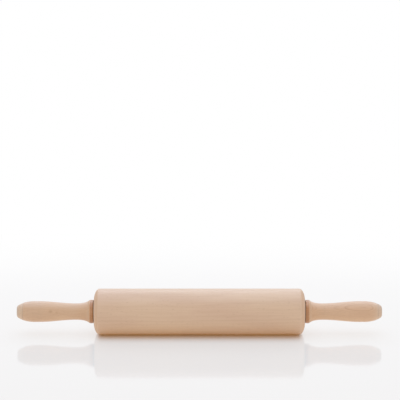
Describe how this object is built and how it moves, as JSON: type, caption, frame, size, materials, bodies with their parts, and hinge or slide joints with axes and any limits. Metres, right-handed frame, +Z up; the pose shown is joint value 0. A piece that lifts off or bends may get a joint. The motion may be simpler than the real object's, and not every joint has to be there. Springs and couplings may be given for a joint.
{
  "type": "rolling pin",
  "caption": "Turned wooden rolling pin: a smooth barrel runs on ball bearings round a steel axle between fixed handles, for rolling out dough and pastry.",
  "frame": {"origin": "on the worktop, under the middle of the roller", "axes": "+X along the axle towards the right-hand handle, +Y away from the viewer of the picture, +Z up"},
  "size_m": [0.437, 0.055, 0.055],
  "materials": {
    "beech_roller": "sanded and lightly oiled",
    "beech_handle": "sanded and lightly oiled",
    "axle_steel": "drawn",
    "bearing_steel": "ground",
    "ball_steel": "polished",
    "shield_steel": "pressed sheet",
    "cage_nylon": "moulded",
    "spring_steel": "phosphated black"
  },
  "bodies": {
    "handles_and_axle": {"axle": "axle_steel", "left_handle": "beech_handle", "right_handle": "beech_handle", "left_spacer": "axle_steel", "right_spacer": "axle_steel", "left_retaining_ring": "spring_steel", "right_retaining_ring": "spring_steel", "left_bearing_inner_ring": "bearing_steel", "right_bearing_inner_ring": "bearing_steel"},
    "roller": {"roller": "beech_roller", "left_bearing_outer_ring": "bearing_steel", "right_bearing_outer_ring": "bearing_steel", "left_bearing_outer_shield": "shield_steel", "left_bearing_inner_shield": "shield_steel", "right_bearing_outer_shield": "shield_steel", "right_bearing_inner_shield": "shield_steel"},
    "left_cage": {"left_bearing_cage": "cage_nylon"},
    "left_ball_1": {"left_bearing_ball_1": "ball_steel"},
    "left_ball_2": {"left_bearing_ball_2": "ball_steel"},
    "left_ball_3": {"left_bearing_ball_3": "ball_steel"},
    "left_ball_4": {"left_bearing_ball_4": "ball_steel"},
    "left_ball_5": {"left_bearing_ball_5": "ball_steel"},
    "left_ball_6": {"left_bearing_ball_6": "ball_steel"},
    "left_ball_7": {"left_bearing_ball_7": "ball_steel"},
    "right_cage": {"right_bearing_cage": "cage_nylon"},
    "right_ball_1": {"right_bearing_ball_1": "ball_steel"},
    "right_ball_2": {"right_bearing_ball_2": "ball_steel"},
    "right_ball_3": {"right_bearing_ball_3": "ball_steel"},
    "right_ball_4": {"right_bearing_ball_4": "ball_steel"},
    "right_ball_5": {"right_bearing_ball_5": "ball_steel"},
    "right_ball_6": {"right_bearing_ball_6": "ball_steel"},
    "right_ball_7": {"right_bearing_ball_7": "ball_steel"}
  },
  "joints": [
    {"name": "roller_spin", "type": "hinge", "parent": "handles_and_axle", "child": "roller", "pos_m": [0, 0, 0.0275], "axis": [1, 0, 0], "continuous": true},
    {"name": "left_cage_spin", "type": "hinge", "parent": "handles_and_axle", "child": "left_cage", "pos_m": [-0.121, 0, 0.0275], "axis": [1, 0, 0], "continuous": true},
    {"name": "right_cage_spin", "type": "hinge", "parent": "handles_and_axle", "child": "right_cage", "pos_m": [0.121, 0, 0.0275], "axis": [1, 0, 0], "continuous": true},
    {"name": "left_ball_1_spin", "type": "hinge", "parent": "left_cage", "child": "left_ball_1", "pos_m": [-0.121, 0, 0.035], "axis": [1, 0, 0], "continuous": true},
    {"name": "left_ball_2_spin", "type": "hinge", "parent": "left_cage", "child": "left_ball_2", "pos_m": [-0.121, -0.00586, 0.03218], "axis": [1, 0, 0], "continuous": true},
    {"name": "left_ball_3_spin", "type": "hinge", "parent": "left_cage", "child": "left_ball_3", "pos_m": [-0.121, -0.00731, 0.02583], "axis": [1, 0, 0], "continuous": true},
    {"name": "left_ball_4_spin", "type": "hinge", "parent": "left_cage", "child": "left_ball_4", "pos_m": [-0.121, -0.00325, 0.02074], "axis": [1, 0, 0], "continuous": true},
    {"name": "left_ball_5_spin", "type": "hinge", "parent": "left_cage", "child": "left_ball_5", "pos_m": [-0.121, 0.00325, 0.02074], "axis": [1, 0, 0], "continuous": true},
    {"name": "left_ball_6_spin", "type": "hinge", "parent": "left_cage", "child": "left_ball_6", "pos_m": [-0.121, 0.00731, 0.02583], "axis": [1, 0, 0], "continuous": true},
    {"name": "left_ball_7_spin", "type": "hinge", "parent": "left_cage", "child": "left_ball_7", "pos_m": [-0.121, 0.00586, 0.03218], "axis": [1, 0, 0], "continuous": true},
    {"name": "right_ball_1_spin", "type": "hinge", "parent": "right_cage", "child": "right_ball_1", "pos_m": [0.121, 0, 0.035], "axis": [1, 0, 0], "continuous": true},
    {"name": "right_ball_2_spin", "type": "hinge", "parent": "right_cage", "child": "right_ball_2", "pos_m": [0.121, 0.00586, 0.03218], "axis": [1, 0, 0], "continuous": true},
    {"name": "right_ball_3_spin", "type": "hinge", "parent": "right_cage", "child": "right_ball_3", "pos_m": [0.121, 0.00731, 0.02583], "axis": [1, 0, 0], "continuous": true},
    {"name": "right_ball_4_spin", "type": "hinge", "parent": "right_cage", "child": "right_ball_4", "pos_m": [0.121, 0.00325, 0.02074], "axis": [1, 0, 0], "continuous": true},
    {"name": "right_ball_5_spin", "type": "hinge", "parent": "right_cage", "child": "right_ball_5", "pos_m": [0.121, -0.00325, 0.02074], "axis": [1, 0, 0], "continuous": true},
    {"name": "right_ball_6_spin", "type": "hinge", "parent": "right_cage", "child": "right_ball_6", "pos_m": [0.121, -0.00731, 0.02583], "axis": [1, 0, 0], "continuous": true},
    {"name": "right_ball_7_spin", "type": "hinge", "parent": "right_cage", "child": "right_ball_7", "pos_m": [0.121, -0.00586, 0.03218], "axis": [1, 0, 0], "continuous": true}
  ],
  "couplings": [
    {"joint": "left_cage_spin", "follows": "roller_spin", "ratio": 0.63233},
    {"joint": "right_cage_spin", "follows": "roller_spin", "ratio": 0.63233},
    {"joint": "left_ball_1_spin", "follows": "roller_spin", "ratio": 1.7568},
    {"joint": "left_ball_2_spin", "follows": "roller_spin", "ratio": 1.7568},
    {"joint": "left_ball_3_spin", "follows": "roller_spin", "ratio": 1.7568},
    {"joint": "left_ball_4_spin", "follows": "roller_spin", "ratio": 1.7568},
    {"joint": "left_ball_5_spin", "follows": "roller_spin", "ratio": 1.7568},
    {"joint": "left_ball_6_spin", "follows": "roller_spin", "ratio": 1.7568},
    {"joint": "left_ball_7_spin", "follows": "roller_spin", "ratio": 1.7568},
    {"joint": "right_ball_1_spin", "follows": "roller_spin", "ratio": 1.7568},
    {"joint": "right_ball_2_spin", "follows": "roller_spin", "ratio": 1.7568},
    {"joint": "right_ball_3_spin", "follows": "roller_spin", "ratio": 1.7568},
    {"joint": "right_ball_4_spin", "follows": "roller_spin", "ratio": 1.7568},
    {"joint": "right_ball_5_spin", "follows": "roller_spin", "ratio": 1.7568},
    {"joint": "right_ball_6_spin", "follows": "roller_spin", "ratio": 1.7568},
    {"joint": "right_ball_7_spin", "follows": "roller_spin", "ratio": 1.7568}
  ]
}
